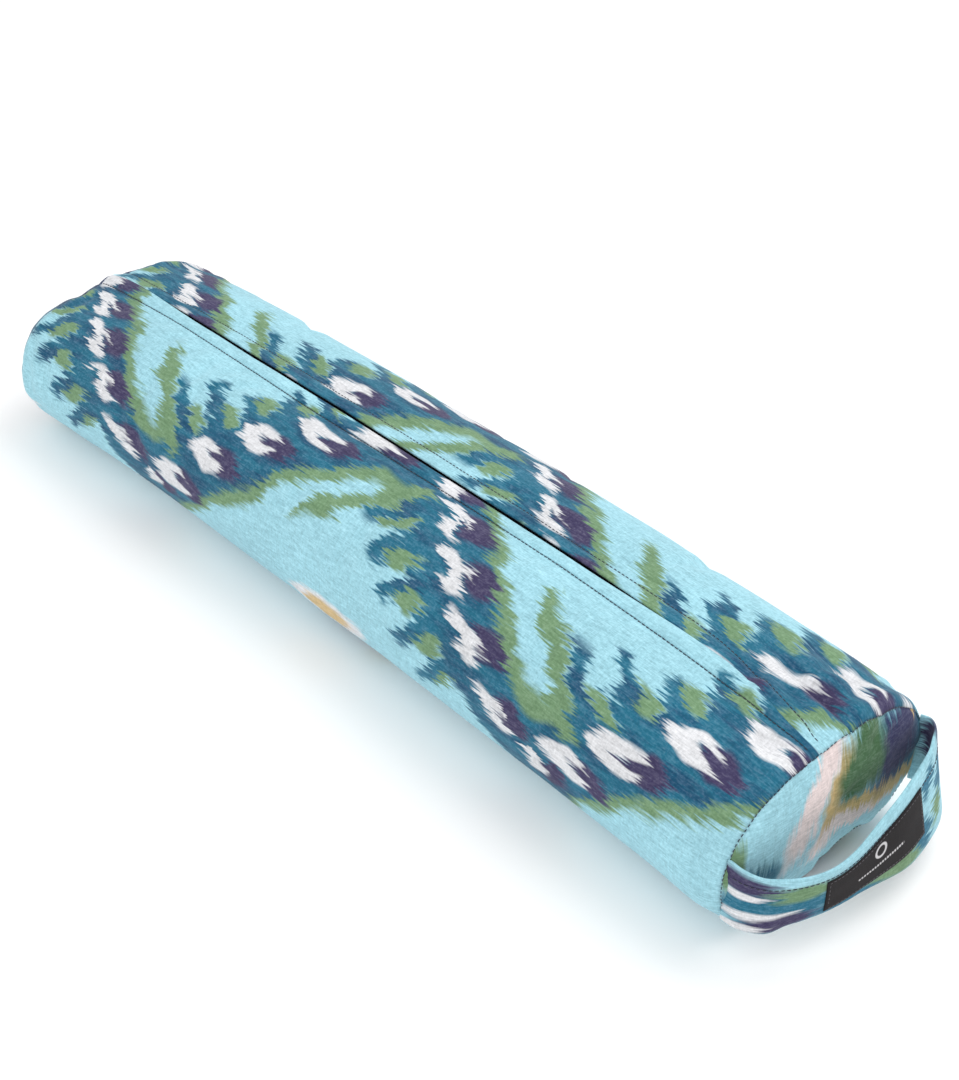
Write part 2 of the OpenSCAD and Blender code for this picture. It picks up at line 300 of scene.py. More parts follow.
def body_point(x, girth):
    """Points of the plain body at lengths x from its middle and girths from its crown."""
    x, girth = np.broadcast_arrays(np.asarray(x, float), np.asarray(girth, float))
    y, z = section_at(girth)
    inset = round_in(x)
    crown = CROWN_RISE - CROWN_DROP * (x / HALF) ** 2 - inset
    above = np.clip((z - WIDEST) / (HEIGHT - WIDEST), 0, 1)
    below = np.clip((WIDEST - z) / WIDEST, 0, 1)
    y = y * (1 - inset / (WIDTH / 2)) + bow(x)
    y = y - FAR_FULL * fade((-x - HALF + 0.16) / 0.16) * np.clip(-y / (WIDTH / 2), 0, 1)
    z = z + above * crown + below * (inset + end_lift(x, y))
    return np.stack([x + MIDDLE, y, z], axis=-1)


def from_zip(girth):
    """Distance from the crown, to the left below 0 and to the right above 0."""
    return np.where(girth > -GIRTH / 2, girth, girth + GIRTH)


# Soft folds in mm: where one starts along the body, its distance from the crown there and at the
# near seam, and its depth, which is below 0 for a ridge
NEAR_FOLDS = [(284, 13, -8, 2.2), (268, 22, 2, -2.2), (266, 29, 13, 5.0), (278, 39, 26, -2.2),
              (280, 52, 42, 4.2), (284, -36, -29, 2.8), (292, -60, -50, 2.4)]


def near_folds(x, across):
    depth = 0
    for start, start_across, end_across, deep in NEAR_FOLDS:
        share = np.clip((x - start * MM) / (HALF - start * MM), 0, 1)
        line = (start_across + (end_across - start_across) * share) * MM
        along = fade(share / 0.5) * (1 - 0.75 * fade((share - 0.72) / 0.28))
        depth = depth + deep * MM * hump(across - line, (6.2 - 3.4 * share) * MM) * along
    return -depth


def far_ridge(x, across):
    """The placket's end stands up at the far seam, and the cover sinks and rises beside it."""
    shape = 2.6 * hump(across + 5 * MM, 7 * MM) - 3.4 * hump(across + 34 * MM, 20 * MM)
    shape = shape + 2.6 * hump(across - 56 * MM, 17 * MM)
    return shape * MM * hump(x + HALF, 30 * MM)


def over_slider(x, across):
    """The cover stands a little higher where the zip's slider and its turned tab lie under it."""
    beyond = x + MIDDLE - SLIDER_AT
    along = fade((beyond + 16 * MM) / (10 * MM)) * (1 - fade((beyond - 27 * MM) / (10 * MM)))
    return 3.9 * MM * along * hump(across + 2 * MM, 11 * MM)


def cover_relief(x, girth):
    """How far the finished cover stands off the plain body: dimples, folds and puckers."""
    across = from_zip(girth)
    to_seam = HALF - np.abs(x)
    lumps = 0.6 * wavering(x / 0.07, girth / 0.06, 3) + 0.32 * wavering(x / 0.03, girth / 0.028, 4)
    relief = MM * lumps * fade(to_seam / 0.03) * fade((np.abs(across) - 8 * MM) / 0.02)
    # The thread pulls a shallow groove, and small puckers into the cloth beside it
    for places, seed in ((LEFT_LINE, 5), (RIGHT_LINE, 6)):
        beside = across - drawn(x, places)
        pucker = hump(beside, 5 * MM) * wavering(x / 0.006, 0.5 * seed, seed)
        relief = relief - 0.8 * MM * hump(beside, 1.6 * MM) + 0.16 * MM * pucker
    # Gathers where the cover is eased into each end panel
    gather = wavering(girth / 0.011, x / 0.05 + 20, 8) + 0.6 * wavering(girth / 0.021, x / 0.06, 9)
    gather = gather * fade((np.abs(across) - 20 * MM) / 0.01)
    relief = relief + 0.9 * MM * gather * hump(to_seam, 0.016)
    return relief + near_folds(x, across) + far_ridge(x, across) + over_slider(x, across)


# ---- Cloth simulation of the stuffed cover ----

SIM_ROUND = 72            # points round the body in the simulation
SIM_STATIONS = 89
SIM_DOME = 9              # rings across each end panel
SIM_SWELL = 6 * MM        # how far each end panel domes before it is pressed
SIM_FRAMES = 20
SIM_OUT = 3.5 * MM        # the furthest a simulated point is let out
SIM_IN = 0.7 * MM         # and in, so that the cover never meets the casing


def dome_points(rim, shares, swell, side):
    """Rings of an end panel: the rim shrunk to each share, swelling out towards its middle."""
    centre = rim.mean(axis=0)
    rings = centre + (rim - centre)[None] * shares[:, None, None]
    rings[..., 0] = rim[0, 0] + side * swell * (1 - shares[:, None] ** 2.4)
    return rings


def sewn_points(rings, across, seams):
    """1 at the points that can't move: the end seams, the placket and where the body rests."""
    pinned = np.zeros(rings.shape[:2])
    pinned[seams] = 1
    placket = (across > -STITCH_LEFT - 2 * MM) & (across < STITCH_RIGHT + 2 * MM)
    pinned[:, placket] = 1
    pinned[rings[..., 2] < 1 * MM] = 1
    return pinned


def pressed(obj, pinned):
    """Where the points of a pinned cloth settle when it is pressed from inside."""
    group = obj.vertex_groups.new(name="sewn")
    group.add([int(i) for i in np.nonzero(pinned.ravel())[0]], 1.0, "REPLACE")
    cloth = obj.modifiers.new("cloth", "CLOTH")
    cloth.settings.mass = 0.2
    cloth.settings.tension_stiffness = 12
    cloth.settings.compression_stiffness = 12
    cloth.settings.shear_stiffness = 5
    cloth.settings.bending_stiffness = 0.4
    cloth.settings.vertex_group_mass = "sewn"
    cloth.settings.shrink_min = -0.02
    cloth.settings.use_pressure = True
    cloth.settings.uniform_pressure_force = 9
    cloth.settings.effector_weights.gravity = 0
    cloth.collision_settings.use_collision = False
    cloth.point_cache.frame_start = 1
    cloth.point_cache.frame_end = SIM_FRAMES
    for number in range(1, SIM_FRAMES + 1):
        bpy.context.scene.frame_set(number)
    settled = obj.evaluated_get(bpy.context.evaluated_depsgraph_get()).to_mesh()
    places = np.zeros(pinned.size * 3)
    settled.vertices.foreach_get("co", places)
    return places.reshape(*pinned.shape, 3)


def simulate_cover():
    """How far each point of the closed cover moves when the filling presses on it, as a grid."""
    girth = -GIRTH * np.arange(SIM_ROUND) / SIM_ROUND
    x = np.linspace(-HALF, HALF, SIM_STATIONS)
    body = body_point(x[:, None], girth[None, :])
    shares = np.linspace(0.08, 1, SIM_DOME)[:-1]
    far = dome_points(body[0], shares, SIM_SWELL, -1)
    near = dome_points(body[-1], shares, SIM_SWELL, 1)[::-1]
    rings = np.concatenate([far, body, near])
    far_seam, near_seam = len(far), len(far) + SIM_STATIONS - 1
    obj = closed_tube("simulated_cover", rings)
    shift = pressed(obj, sewn_points(rings, from_zip(girth), [far_seam, near_seam])) - rings
    bpy.data.objects.remove(obj)
    bpy.context.scene.frame_set(1)
    # Only the movement outwards or inwards is used, and it levels off at its two limits
    round_it = np.roll(rings, -1, axis=1) - np.roll(rings, 1, axis=1)
    outward = unit(np.cross(round_it, np.gradient(rings, axis=0)))
    rise = np.sum(shift * outward, axis=-1, keepdims=True)
    moved_mm = (rise.min() / MM, rise.max() / MM, rise.mean() / MM)
    print("cloth moved %.1f to %.1f mm, %.1f mm on average" % moved_mm)
    rise = np.where(rise > 0, SIM_OUT * np.tanh(rise / SIM_OUT), SIM_IN * np.tanh(rise / SIM_IN))
    shift = outward * rise
    return {"body": shift[far_seam:near_seam + 1], "far": shift[:far_seam + 1],
            "near": shift[near_seam:][::-1], "shares": np.append(shares, 1)}


def sampled(grid, row, column):
    """A grid's values at fractional rows, and at fractional columns that close into a ring."""
    rows, columns = grid.shape[:2]
    i = np.clip(np.floor(row).astype(int), 0, rows - 2)
    j = np.floor(column).astype(int)
    s, t = row - i, column - j

    def weights(f):
        return [(-f + 2 * f**2 - f**3) / 2, (2 - 5 * f**2 + 3 * f**3) / 2,
                (f + 4 * f**2 - 3 * f**3) / 2, (f**3 - f**2) / 2]

    total = 0
    for di, wi in zip((-1, 0, 1, 2), weights(s)):
        for dj, wj in zip((-1, 0, 1, 2), weights(t)):
            part = grid[np.clip(i + di, 0, rows - 1), (j + dj) % columns]
            total = total + part * (wi * wj)[..., None]
    return total


SETTLED = simulate_cover()


def cover_point(x, girth, relief=0.0):
    """Points of the finished cover: the plain body, the simulated swelling and the relief."""
    x, girth = np.broadcast_arrays(np.asarray(x, float), np.asarray(girth, float))
    points = body_point(x, girth)
    step = 0.5 * MM
    ahead, behind = np.minimum(x + step, HALF), np.maximum(x - step, -HALF)
    along = body_point(ahead, girth) - body_point(behind, girth)
    round_it = body_point(x, girth - step) - body_point(x, girth + step)
    outward = unit(np.cross(round_it, along))
    outward = np.where(np.abs(x[..., None]) > HALF - step, outward * [0, 1, 1], outward)
    outward = unit(outward)
    if SETTLED is not None:
        row = (x + HALF) / (2 * HALF) * (SIM_STATIONS - 1)
        column = -girth / GIRTH * SIM_ROUND
        clear = fade((np.abs(from_zip(girth)) - 14 * MM) / (14 * MM))
        points = points + sampled(SETTLED["body"], row, column) * clear[..., None]
    points = points + outward * (cover_relief(x, girth) + relief)[..., None]
    points[..., 2] = np.maximum(points[..., 2], 0.1 * MM)
    return points, outward


# ---- Materials ----

class Wire:
    """A number that flows through a material. Sums and comparisons of wires add nodes."""

    def __init__(self, tree, socket):
        self.tree = tree
        self.socket = socket

    def math(self, operation, *others, clamp=False):
        node = self.tree.nodes.new("ShaderNodeMath")
        node.operation = operation
        node.use_clamp = clamp
        for slot, value in zip(node.inputs, (self, *others)):
            if isinstance(value, Wire):
                self.tree.links.new(value.socket, slot)
            else:
                slot.default_value = value
        return Wire(self.tree, node.outputs[0])

    def __add__(self, other):
        return self.math("ADD", other)

    def __sub__(self, other):
        return self.math("SUBTRACT", other)

    def __mul__(self, other):
        return self.math("MULTIPLY", other)

    def __abs__(self):
        return self.math("ABSOLUTE")

    def wrapped(self, half):
        return self.math("WRAP", half, -half)

    def below(self, edge, blur):
        """1 where the wire is under the edge and 0 over it, over a soft step."""
        return ((self - edge) * (-1 / blur)).math("ADD", 0.5, clamp=True)

    def above(self, edge, blur):
        return ((self - edge) * (1 / blur)).math("ADD", 0.5, clamp=True)

    def __and__(self, other):
        return self * other

    def __or__(self, other):
        return self.math("MAXIMUM", other)

    def without(self, other):
        """The wire where the other mask is 0."""
        return self * other.math("MULTIPLY_ADD", -1, 1)


def noise(tree, a, b, seed, detail=1.0):
    """A smooth random wire, mostly within 0.5 of 0, about one hump for each unit of a and b."""
    place = tree.nodes.new("ShaderNodeCombineXYZ")
    for slot, value in zip(place.inputs, (a, b, seed)):
        if isinstance(value, Wire):
            tree.links.new(value.socket, slot)
        else:
            slot.default_value = value
    texture = tree.nodes.new("ShaderNodeTexNoise")
    texture.inputs["Scale"].default_value = 1
    texture.inputs["Detail"].default_value = detail
    tree.links.new(place.outputs[0], texture.inputs["Vector"])
    return (Wire(tree, texture.outputs["Fac"]) - 0.5) * 2


def chance(tree, a, b):
    """A wire with one random value from 0 to 1 for each pair of values a and b."""
    place = tree.nodes.new("ShaderNodeCombineXYZ")
    tree.links.new(a.socket, place.inputs[0])
    tree.links.new(b.socket, place.inputs[1])
    texture = tree.nodes.new("ShaderNodeTexWhiteNoise")
    texture.noise_dimensions = "2D"
    tree.links.new(place.outputs[0], texture.inputs["Vector"])
    return Wire(tree, texture.outputs["Value"])


def from_srgb(red, green, blue):
    """A colour given as screen values from 0 to 255, as the shader's linear ones."""
    return tuple(((v / 255 + 0.055) / 1.055) ** 2.4 if v > 10 else v / 255 / 12.92
                 for v in (red, green, blue)) + (1.0,)


AQUA = from_srgb(151, 201, 214)
TEAL = from_srgb(27, 104, 130)
DEEP_TEAL = from_srgb(12, 74, 106)
OLIVE = from_srgb(107, 141, 104)
CHALK = from_srgb(212, 213, 216)
PLUM = from_srgb(58, 52, 88)
TAN = from_srgb(205, 178, 128)


def blended(tree, mask, under, over):
    """One colour over another, by a mask."""
    mix = tree.nodes.new("ShaderNodeMix")
    mix.data_type = "RGBA"
    tree.links.new(mask.socket, mix.inputs["Factor"])
    colours = [s for s in mix.inputs if s.type == "RGBA"]
    for slot, value in zip(colours, (under, over)):
        if isinstance(value, tuple):
            slot.default_value = value
        else:
            tree.links.new(value, slot)
    return [s for s in mix.outputs if s.type == "RGBA"][0]


def new_material(name):
    material = bpy.data.materials.new(name)
    material.use_nodes = True
    tree = material.node_tree
    return material, tree, tree.nodes["Principled BSDF"]


def cloth_places(tree):
    """Wires for a point's place on the flat cloth, in millimetres."""
    attribute = tree.nodes.new("ShaderNodeAttribute")
    attribute.attribute_name = "cloth"
    split = tree.nodes.new("ShaderNodeSeparateXYZ")
    tree.links.new(attribute.outputs["Vector"], split.inputs[0])
    return [Wire(tree, split.outputs[k]) * 1000 for k in range(2)]


def shaded(tree, colour, factor):
    """A colour made lighter or darker by a factor wire."""
    scale = tree.nodes.new("ShaderNodeVectorMath")
    scale.operation = "SCALE"
    tree.links.new(colour, scale.inputs[0])
    tree.links.new(factor.socket, scale.inputs["Scale"])
    return scale.outputs[0]


def finish(tree, shader, colour, roughness, height, depth, numbers):
    """Links a material's colour, roughness and bump, and sets its plain numbers."""
    tree.links.new(colour, shader.inputs["Base Color"])
    tree.links.new(roughness.socket, shader.inputs["Roughness"])
    for name, value in numbers.items():
        shader.inputs[name].default_value = value
    bump = tree.nodes.new("ShaderNodeBump")
    bump.inputs["Strength"].default_value = 1
    bump.inputs["Distance"].default_value = depth
    tree.links.new(height.socket, bump.inputs["Height"])
    tree.links.new(bump.outputs[0], shader.inputs["Normal"])


def weave(tree, a, b, pitch):
    """The height of a plain weave: threads along a and b that pass over each other by turns."""
    turn = 2 * math.pi / pitch
    over = (a * (turn / 2)).math("SINE") * (b * (turn / 2)).math("SINE")
    ribs = (a * turn).math("COSINE").math("MAXIMUM", (b * turn).math("COSINE"))
    return over.math("MULTIPLY_ADD", 0.6, ribs * 0.25)


def finish_cotton(tree, shader, colour, a, b, seed):
    """Heathered thread colour, weave, sheen and roughness, the same on every printed piece."""
    slub = noise(tree, a * (1 / 8), b * (1 / 0.7), seed, 2)
    cross = noise(tree, a * (1 / 0.8), b * (1 / 6), seed + 1, 2)
    cloud = noise(tree, a * (1 / 60), b * (1 / 45), seed + 2, 2)
    mottle = noise(tree, a * (1 / 5), b * (1 / 2.2), seed + 3, 3)
    grain = noise(tree, a * (1 / 1.6), b * (1 / 1.2), seed + 4, 2)
    factor = (slub * 0.28 + cross * 0.16 + cloud * 0.12 + mottle * 0.18 + grain * 0.26).math("ADD", 1.0)
    undyed = (slub * 0.6 + mottle * 0.5 + grain * 0.6).above(0.25, 0.8) * 0.09
    colour = shaded(tree, blended(tree, undyed, colour, CHALK), factor)
    height = weave(tree, a, b, 0.7) + slub * 0.8 + cross * 0.5
    finish(tree, shader, colour, (slub * 0.12).math("ADD", 0.86), height, 0.05 * MM,
           {"Sheen Weight": 0.1, "Sheen Roughness": 0.45, "Specular IOR Level": 0.25})


# The print's sizes, in mm
REPEAT = 388.0                            # along the body
ZIP_STEP = 78.0                           # how far the two sides of the zip are out of step
ROW = (GIRTH / MM - ZIP_STEP) / 2         # from one row to the next, round the body
SWING = 64.0                              # half the width of the band's zigzag
ARM = 0.85                                # the slope of its arms
BAND = 28.0                               # half the band's own width
APEX = -183.0                             # where a band swings furthest from the zip
SPOT_PITCH = REPEAT / 12
TOOTH_PITCH = 38.0


def streaked(tree, x, girth, size, seed):
    """Length shifted thread by thread, which feathers every edge of an ikat along its warp."""
    bundle = noise(tree, x * (1 / 32), girth * (1 / 2.1), seed, 1)
    fine = noise(tree, x * (1 / 12), girth * (1 / 0.85), seed + 1, 0)
    slow = noise(tree, x * (1 / 40), girth * (1 / 12), seed + 2, 0)
    return x + bundle * (11 * size) + fine * (7 * size) + slow * (8 * size)


def band_middle(u):
    """A band's centre line: straight arms with rounded turns, for u from the apex."""
    return ((abs(u) - 92) * ARM).math("SMOOTH_MIN", SWING, 24).math("SMOOTH_MAX", -SWING, 24)


def oval(a, b, half_a, half_b):
    """A wire that is 0 at an oval's middle and 1 on its edge."""
    a, b = a * (1 / half_a), b * (1 / half_b)
    return a * a + b * b


def lopsided(beside, ahead, behind):
    """A distance as a share of one half width above 0, and of another below it."""
    return beside.math("MAXIMUM", 0.0) * (1 / ahead) + beside.math("MINIMUM", 0.0) * (1 / behind)


def spot(tree, u, w, seed):
    """Places beside and over the closest spot of a band, its luck, and whether it is on a rising arm."""
    side = u.math("SIGN")
    on_arm = w * (0.65 / ARM) + abs(u) * 0.35 + 92 * 0.65
    number = (on_arm * (1 / SPOT_PITCH)).math("ROUND").math("MAXIMUM", 0.0).math("MINIMUM", 6.0)
    beside = u - number * side * SPOT_PITCH
    over = w - band_middle(number * SPOT_PITCH)
    luck = chance(tree, number * side, number * 0 + seed)
    rising = side.math("MULTIPLY_ADD", -0.5, 0.5)
    return beside, over, luck, rising


def comb(tree, x, girth, along, diagonal, away, outer):
    """Masks of the teeth that leave the falling arm squarely, and of the olive beside them."""
    phase = (diagonal - 12).wrapped(TOOTH_PITCH / 2)
    tooth_number = ((diagonal - 12) * (1 / TOOTH_PITCH)).math("ROUND")
    tooth_luck = chance(tree, tooth_number, outer)
    ragged = noise(tree, x * (1 / 9), girth * (1 / 5), 4.5, 1) * 5
    in_comb = diagonal.above(-7, 1.5) & diagonal.below(178, 1.5) & along.below(165, 3)
    slim = away * -0.13 + 16.5 + ragged
    tooth = abs(phase).below(slim, 5.0) & away.below(tooth_luck * 24 + 56, 7) & in_comb
    beside_tooth = (phase - 16).wrapped(TOOTH_PITCH / 2) + (away - 34) * 0.15
    crescent = oval(away - 40, beside_tooth, 14, 10).below(1, 0.7) & in_comb
    crescent = crescent & diagonal.above(22, 3)
    spike = abs(diagonal + 7 + ragged * 0.4).below(9, 5) & away.below(80, 6) & away.above(16, 5)
    spike = spike & along.above(-40, 5) & along.below(60, 5)
    return tooth, crescent | spike


def olive_rim(tree, x, girth, along, diagonal, away, swollen):
    """Mask of the olive line outside the rising arm."""
    near_turn = along.above(-70, 70) & along.below(10, 40)
    width = noise(tree, x * (1 / 35), girth * (1 / 35), 9.5, 1) * 6 + (BAND + 9) + swollen * 13
    width = width + near_turn * 5
    outside = diagonal.below(-2, 3) & along.above(-172, 6)
    return away.below(width, 6) & outside


def cream_patch(tree, colour, u, w):
    """A cream patch with a tan core, opposite the near apex of each band."""
    patch_x = (abs(u) - REPEAT / 2) * (1 / 40)
    patch_g = (w + 76) * (1 / 12)
    patch = (patch_x * patch_x + patch_g * patch_g).below(1, 0.5)
    colour = blended(tree, patch, colour, CHALK)
    core = (patch_x * patch_x * 3 + patch_g * patch_g * 2).below(1, 0.8)
    return blended(tree, core, colour, TAN)


def spots(tree, colour, u, w):
    """The band's spots: a plum shadow first, then the chalk spot with its notches."""
    beside, over, _, rising = spot(tree, u - 16, w, 1)
    shadow_over = over - rising * 4 + beside * rising * 0.25
    shadow = oval(lopsided(beside, 18, 16), shadow_over, 1, 9.5).below(0.9, 0.6)
    colour = blended(tree, shadow, colour, PLUM)
    beside, over, luck, rising = spot(tree, u, w, 1)
    level = over + beside * (rising * 0.42 + luck * 0.3 - 0.15)
    white = oval(lopsided(beside, 16, 23), level, 1, 9.2).below(luck * 0.35 + 0.75, 0.5)
    notch = oval(beside - 12, level - rising * 2 - 1, 15, 3.4).below(luck * 1.6 - 0.2, 0.6)
    back_notch = oval(beside + 17, level + 4.5, 13, 4).below(rising * 1.6 - 0.8, 0.6)
    return blended(tree, white.without(notch).without(back_notch), colour, CHALK)


def ikat(tree, x, girth):
    """The cover's print: a zigzag band with spots, combs and spikes, in rows round the body."""
    swayed = girth + noise(tree, x * (1 / 28), girth * (1 / 28), 2.5, 1) * 7
    shifted = streaked(tree, x, girth, 1.0, 7.5)
    u = (shifted - APEX).wrapped(REPEAT / 2)
    w = (swayed + SWING).wrapped(ROW / 2)
    off_line = w - band_middle(u)
    away = abs(off_line)

    # The two sides of a band are alike but for half a repeat, so both use one set of motifs
    outer = off_line.math("LESS_THAN", 0.0)
    side = outer.math("MULTIPLY_ADD", -2, 1)
    along = (u + outer * (REPEAT / 2)).wrapped(REPEAT / 2)
    diagonal = along + w * side

    tooth, olive = comb(tree, x, girth, along, diagonal, away, outer)
    swollen = u.above(95, 40) & u.below(172, 30) & outer
    rim = olive_rim(tree, x, girth, along, diagonal, away, swollen)
    band = away.below(swollen * 13 + BAND, 5)
    dyed_twice = noise(tree, shifted * (1 / 26), girth * (1 / 7), 12.5, 2).above(0.05, 0.5)
    colour = blended(tree, rim, AQUA, OLIVE)
    colour = blended(tree, band | tooth, colour, blended(tree, dyed_twice, TEAL, DEEP_TEAL))
    colour = blended(tree, olive, colour, OLIVE)
    return spots(tree, cream_patch(tree, colour, u, w), u, w)


def printed_cotton():
    material, tree, shader = new_material("printed_cotton")
    x, girth = cloth_places(tree)
    finish_cotton(tree, shader, ikat(tree, x, girth), x, girth, 31.5)
    return material


def blots(tree, ground, a, b, marks):
    """Soft feathered marks over a ground: (a, b, half width, half height, slant, colour)."""
    colour = ground
    for mark_a, mark_b, half_a, half_b, slant, tint in marks:
        level = b - mark_b
        mask = oval(a - mark_a - level * slant, level, half_a, half_b).below(1, 1.0)
        colour = blended(tree, mask, colour, tint)
    return colour


FOREST = from_srgb(64, 100, 66)
GOLD = from_srgb(200, 172, 118)
BLUSH = from_srgb(224, 208, 206)
NAVY = from_srgb(42, 44, 84)


def panel_cotton(name, seed, marks):
    material, tree, shader = new_material(name)
    a, b = cloth_places(tree)
    far_b = streaked(tree, b, a, 0.75, seed)
    near_a = a + noise(tree, a * (1 / 20), b * (1 / 20), seed + 5, 1) * 8
    colour = blots(tree, AQUA, near_a, far_b, marks)
    finish_cotton(tree, shader, colour, a, b, seed + 9)
    return material


def strap_cotton():
    material, tree, shader = new_material("strap_cotton")
    a, b = cloth_places(tree)
    far_a = streaked(tree, a, b, 0.9, 61.5)
    marks = [
        (30, 18, 38, 17, 0.0, TEAL), (10, 38, 20, 8, -0.6, PLUM), (9, 28, 11, 3, -0.8, CHALK),
        # The plum mark at (34, 6) along the lower edge is partly the print's purple and partly painted
        # shade on the edge's shadowed side
        (44, 31, 19, 8, 0.2, OLIVE), (18, 12, 20, 4, -0.5, CHALK), (34, 6, 26, 6, -0.4, PLUM),
        (10, 3, 14, 3, 0.0, CHALK), (84, 5, 30, 7, 0.0, TEAL), (116, 6, 22, 6, 0.0, OLIVE),
        (142, 10, 9, 10, 0.0, TEAL), (156, 36, 6, 9, 0.5, TEAL), (163, 16, 7, 9, 0.3, OLIVE),
        (172, 30, 6, 10, 0.4, TEAL), (192, 36, 12, 16, 0.2, PLUM),
    ]
    colour = blots(tree, AQUA, far_a, b, marks)
    finish_cotton(tree, shader, colour, a, b, 71.5)
    return material


def plain_cloth(name, light, dark, pitch, roughness, sheen, depth):
    """A plain woven cloth with uneven threads."""
    material, tree, shader = new_material(name)
    a, b = cloth_places(tree)
    thread = noise(tree, a * (1 / 7), b * (1 / pitch), 3.5, 2)
    cross = noise(tree, a * (1 / pitch), b * (1 / 7), 4.5, 2)
    cloud = noise(tree, a * (1 / 40), b * (1 / 30), 5.5, 2)
    mask = (thread + cross + cloud).math("MULTIPLY_ADD", 0.5, 0.5, clamp=True)
    height = weave(tree, a, b, pitch) + thread * 0.5
    finish(tree, shader, blended(tree, mask, dark, light), (thread * 0.1).math("ADD", roughness),
           height, depth, {"Sheen Weight": sheen, "Specular IOR Level": 0.2})
    return material


def label_woven():
    """The black label, with a plain ring and line woven in pale thread in place of any wording."""
    light, dark = from_srgb(37, 33, 35), from_srgb(19, 17, 19)
    material = plain_cloth("black_label", light, dark, 0.35, 0.75, 0.02, 0.02 * MM)
    tree = material.node_tree
    base = tree.nodes["Principled BSDF"].inputs["Base Color"]
    a, b = cloth_places(tree)
    along, over = a - 101, b - 22.5
    ring = abs((along * along + over * over).math("SQRT") - 4.6).below(0.9, 0.5)
    wale = (a * (math.pi / 1.1)).math("SINE").above(-0.5, 0.3)
    line = abs(b - 12).below(0.8, 0.4) & abs(along).below(20, 1) & wale
    ground = base.links[0].from_socket
    tree.links.new(blended(tree, ring | line, ground, from_srgb(196, 194, 196)), base)
    return material


def object_places(tree, scale=1000.0):
    """Wires for a point's place in the frame, in millimetres."""
    place = tree.nodes.new("ShaderNodeTexCoord")
    split = tree.nodes.new("ShaderNodeSeparateXYZ")
    tree.links.new(place.outputs["Object"], split.inputs[0])
    return [Wire(tree, split.outputs[k]) * scale for k in range(3)]


def thread_material(name, light, dark):
    """Twisted sewing thread: fine plies across its length and a soft lustre."""
    material, tree, shader = new_material(name)
    x, y, z = object_places(tree)
    ply = (x * 9 + y * 9 + z * 5).math("SINE")
    fuzz = noise(tree, x * 3, y * 3 + z, 6.5, 2)
    mask = (ply * 0.3 + fuzz * 0.6).math("ADD", 0.5, clamp=True)
    finish(tree, shader, blended(tree, mask, dark, light), (fuzz * 0.15).math("ADD", 0.6),
           ply + fuzz, 0.05 * MM, {"Sheen Weight": 0.2})
    return material


def coil_material():
    material, tree, shader = new_material("zip_coil")
    x, y, z = object_places(tree)
    worn = noise(tree, x * 0.2, y * 0.9 + z * 0.9, 8.5, 3)
    mask = worn.math("ADD", 0.4, clamp=True)
    colour = blended(tree, mask, from_srgb(22, 23, 34), from_srgb(40, 42, 56))
    height = noise(tree, x * 4, y * 4 + z * 3, 9.5, 2)
    finish(tree, shader, colour, (worn * 0.2).math("ADD", 0.42), height, 0.02 * MM, {})
    return material


def metal_material():
    """Dark plated zinc, rubbed brighter where it wears and finely brushed along the zip."""
    material, tree, shader = new_material("zip_metal")
    x, y, z = object_places(tree)
    brushed = noise(tree, x * 0.4, y * 9 + z * 9, 12.5, 2)
    worn = noise(tree, x * 0.35, y * 0.5 + z * 0.4, 13.5, 3)
    edge = tree.nodes.new("ShaderNodeNewGeometry")
    rubbed = Wire(tree, edge.outputs["Pointiness"]).above(0.53, 0.06)
    mask = rubbed.math("MAXIMUM", (worn - 0.1).math("MULTIPLY", 1.4, clamp=True))
    colour = blended(tree, mask, from_srgb(112, 112, 118), from_srgb(182, 180, 176))
    roughness = (brushed * 0.16 + worn * 0.1).math("ADD", 0.36)
    finish(tree, shader, colour, roughness, brushed + worn, 0.02 * MM, {"Metallic": 1})
    return material


def batting_material():
    """Packed raw cotton: clumps, fine tangled fibres and a few darker flecks."""
    material, tree, shader = new_material("batting")
    x, y, z = object_places(tree)
    clump = noise(tree, x * 0.05 + y * 0.01, y * 0.06 + z * 0.06, 14.5, 4)
    fibre = noise(tree, x * 1.1, y * 1.2 + z * 1.4, 15.5, 4)
    fleck = noise(tree, x * 0.5, y * 0.5 + z * 0.5, 16.5, 1).above(0.42, 0.05)
    mask = (clump + fibre * 0.5).math("ADD", 0.5, clamp=True)
    colour = blended(tree, mask, from_srgb(214, 204, 182), from_srgb(242, 237, 224))
    colour = blended(tree, fleck, colour, from_srgb(176, 152, 112))
    finish(tree, shader, colour, (fibre * 0.05).math("ADD", 0.94), clump * 2 + fibre, 0.6 * MM,
           {"Sheen Weight": 0.3})
    return material


def dress(obj, material, body="bolster"):
    """Gives a piece its material and slot, and lets it ride on its body."""
    obj.data.materials.clear()
    obj.data.materials.append(material)
    if body:
        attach(obj, body)


# ---- Cover, placket and end panels ----

BODY_STATIONS = 261       # points along the cover and its lips
BESIDE_LIP = 17           # points across the cover's stretch beside each lip


def stations(count):
    """Lengths along the body, closer together towards both ends."""
    t = np.linspace(-1, 1, count)
    return HALF * (0.72 * t + 0.28 * np.sin(t * math.pi / 2))


